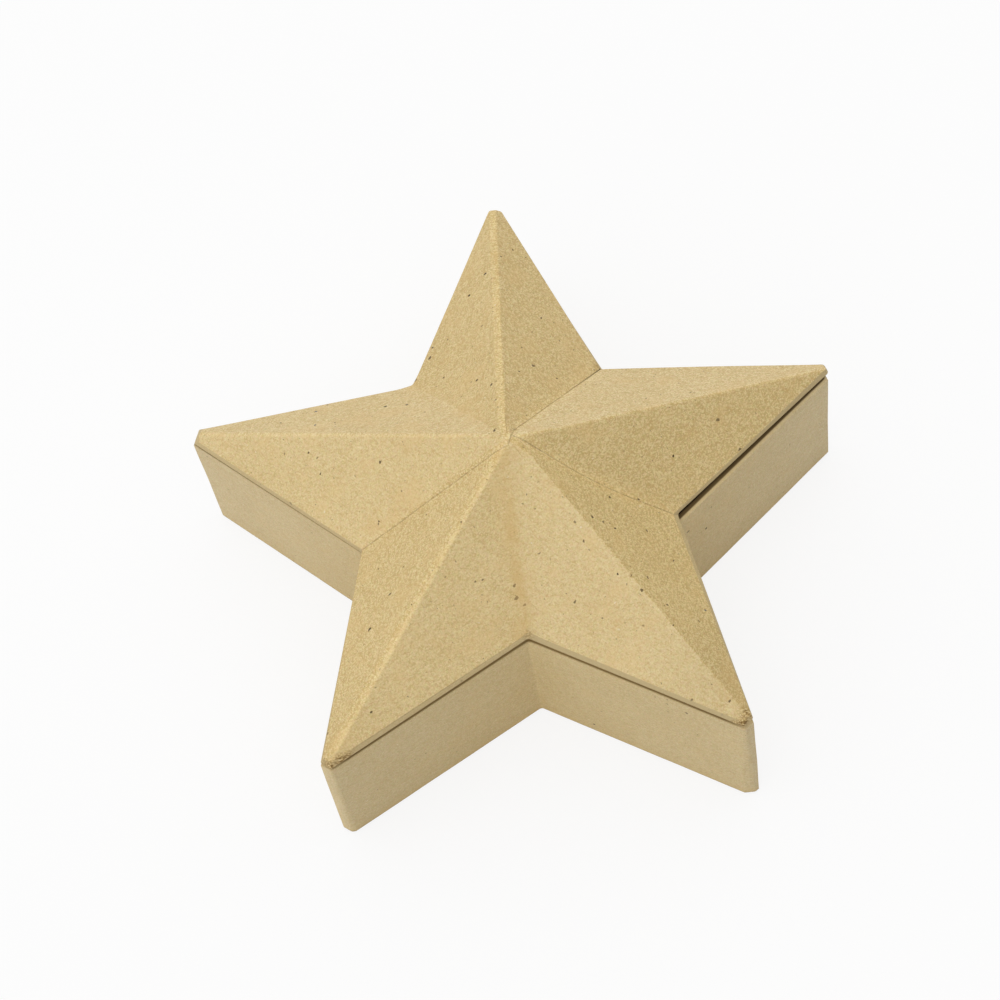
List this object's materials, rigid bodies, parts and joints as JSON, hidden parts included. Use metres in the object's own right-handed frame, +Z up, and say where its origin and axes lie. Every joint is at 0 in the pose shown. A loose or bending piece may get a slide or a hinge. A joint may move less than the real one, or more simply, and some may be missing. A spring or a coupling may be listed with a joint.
{
  "type": "cardboard star box",
  "caption": "Star-shaped gift box of kraft board with upright walls and a lift-off lid whose faceted star roof rests on the wall's top edge, located by an inner collar.",
  "frame": {"origin": "centre of the star on the underside of the base, where the box stands", "axes": "+Z up along the star's axis and the way the lid lifts; +Y along the back arm of the star; +X to the right across the widest span"},
  "size_m": [0.1836, 0.1748, 0.0721],
  "materials": {
    "roof_kraft": "matt recycled kraft paper over board, with fibre specks",
    "wall_kraft": "matt smooth kraft paper over board",
    "floor_kraft": "matt kraft board",
    "collar_kraft": "matt kraft board"
  },
  "bodies": {
    "base": {"base_wall": "wall_kraft", "base_floor": "floor_kraft"},
    "lid": {"lid_roof_back_left": "roof_kraft", "lid_roof_front": "roof_kraft", "lid_roof_right": "roof_kraft", "lid_collar": "collar_kraft"}
  },
  "joints": [
    {"name": "lid_lift", "type": "slide", "parent": "base", "child": "lid", "axis": [0, 0, 1], "range_m": [0, 0.06]}
  ]
}
